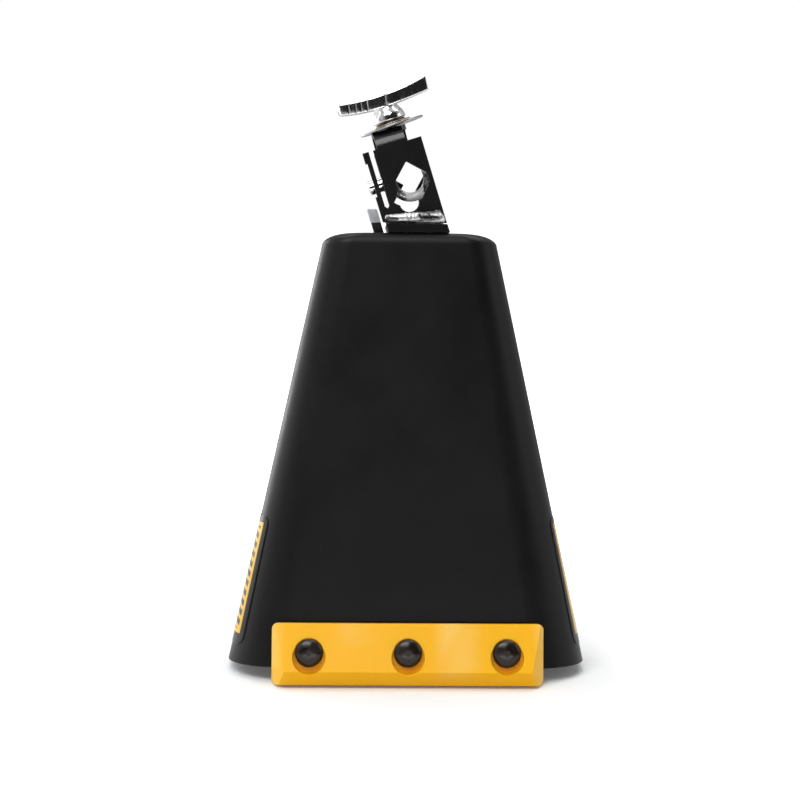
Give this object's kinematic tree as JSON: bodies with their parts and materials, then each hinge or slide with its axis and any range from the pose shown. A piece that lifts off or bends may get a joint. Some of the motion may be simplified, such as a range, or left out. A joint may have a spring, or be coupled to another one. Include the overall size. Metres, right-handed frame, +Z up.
{
  "type": "cowbell",
  "caption": "Flared black steel cowbell with a plastic striking bar riveted to its mouth and a rod mount closed by a wing nut on its end.",
  "frame": {"origin": "middle of the object's footprint on the surface it stands on", "axes": "+Z up from the mouth to the closed end and the mount, -Y towards the playing face with the bar, +X along the bar to the right as seen from the front"},
  "size_m": [0.1696, 0.0888, 0.2813],
  "materials": {
    "bell_paint": "satin black powder coat",
    "bracket_paint": "semi-gloss black powder coat",
    "weld_paint": "glossy black paint over a weld bead",
    "bar_plastic": "moulded yellow-orange plastic, satin gloss",
    "rivet_head": "glossy dark brown-black",
    "zinc_steel": "zinc-plated",
    "side_label": "printed vinyl label, yellow with a black border",
    "chrome_plate": "polished",
    "washer_brass": "dull plated",
    "washer_dark": "dark oiled"
  },
  "bodies": {
    "bell": {"base_plate": "bracket_paint", "bell_front_shell": "bell_paint", "bell_rear_shell": "bell_paint", "bracket_weld_front": "weld_paint", "bracket_weld_rear": "weld_paint", "end_weld": "bell_paint", "flat_washer": "washer_brass", "large_washer": "chrome_plate", "lock_washer": "washer_dark", "mount_bracket": "bracket_paint", "rider_bar": "bar_plastic", "rivet_burr_left": "zinc_steel", "rivet_burr_middle": "zinc_steel", "rivet_burr_right": "zinc_steel", "rivet_left": "rivet_head", "rivet_middle": "rivet_head", "rivet_right": "rivet_head", "side_weld_left": "bell_paint", "side_weld_right": "bell_paint", "sticker_left": "side_label", "sticker_right": "side_label", "stop_lug": "bracket_paint"},
    "nut": {"wing_nut": "chrome_plate"},
    "eye": {"alignment_arm": "chrome_plate", "eye_bolt": "chrome_plate"}
  },
  "joints": [
    {"name": "wing_nut_turn", "type": "hinge", "parent": "bell", "child": "nut", "pos_m": [0.00011, 0.02813, 0.23199], "axis": [-0.3333, 0.036, 0.9421], "range_deg": [-567.5, 1277]},
    {"name": "eye_bolt_lift", "type": "slide", "parent": "bell", "child": "eye", "axis": [-0.3333, 0.036, 0.9421], "range_m": [-0.0045, 0.002]}
  ],
  "couplings": [
    {"joint": "wing_nut_turn", "follows": "eye_bolt_lift", "rad_per_m": -4948}
  ]
}
